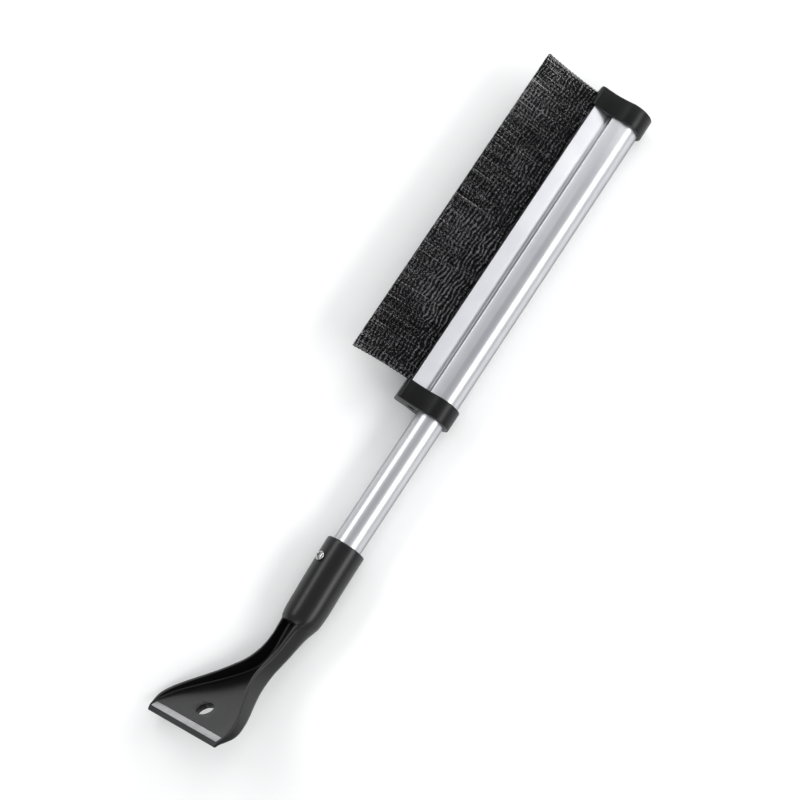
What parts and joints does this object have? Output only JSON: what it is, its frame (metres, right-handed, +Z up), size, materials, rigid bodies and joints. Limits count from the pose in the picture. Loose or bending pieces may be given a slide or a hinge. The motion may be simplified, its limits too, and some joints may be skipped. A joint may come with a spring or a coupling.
{
  "type": "telescoping snow brush with ice scraper",
  "caption": "Telescoping aluminium snow brush with a bristle strip along its barrel and a plastic ice scraper on the sliding tube.",
  "frame": {"origin": "on the table that the part lies on, under the middle of its box", "axes": "+X along the handle, from the scraper towards the brush's upper end cap; +Z up from the table; +Y towards the bristles"},
  "size_m": [0.5558, 0.0916, 0.0706],
  "materials": {
    "rail_aluminium": "satin anodised extrusion with fine lengthwise lines",
    "tube_aluminium": "satin anodised drawn tube",
    "cap_plastic": "smooth moulded black plastic, soft sheen",
    "scraper_plastic": "smooth moulded black plastic, soft sheen",
    "strip_plastic": "black moulded strip",
    "bristles": "black crimped nylon filaments",
    "lock_nylon": "natural nylon",
    "steel": "bright zinc-plated steel",
    "black_steel": "black-oxide steel",
    "edge_metal": "satin stainless strip, fine lengthwise grain"
  },
  "bodies": {
    "brush_head": {"brush_rail": "rail_aluminium", "lower_end_cap": "cap_plastic", "upper_end_cap": "cap_plastic", "lower_cap_screw": "black_steel", "upper_cap_screw": "black_steel", "brush_back": "strip_plastic", "bristle_row_rear": "bristles", "bristle_row_middle": "bristles", "bristle_row_front": "bristles"},
    "lock": {"lock_sleeve": "lock_nylon", "lock_cone": "steel"},
    "shaft": {"inner_tube": "tube_aluminium", "lock_plug": "lock_nylon", "tube_pin": "steel", "lock_stop_screw": "steel", "scraper_head": "scraper_plastic", "scraper_screw": "steel", "scraper_edge_strip": "edge_metal"}
  },
  "joints": [
    {"name": "tube_slide", "type": "slide", "parent": "brush_head", "child": "lock", "axis": [1, 0, 0], "range_m": [-0.07, 0.108]},
    {"name": "tube_twist", "type": "hinge", "parent": "lock", "child": "shaft", "pos_m": [0, -0.02985, 0.0159], "axis": [1, 0, 0], "continuous": true}
  ]
}
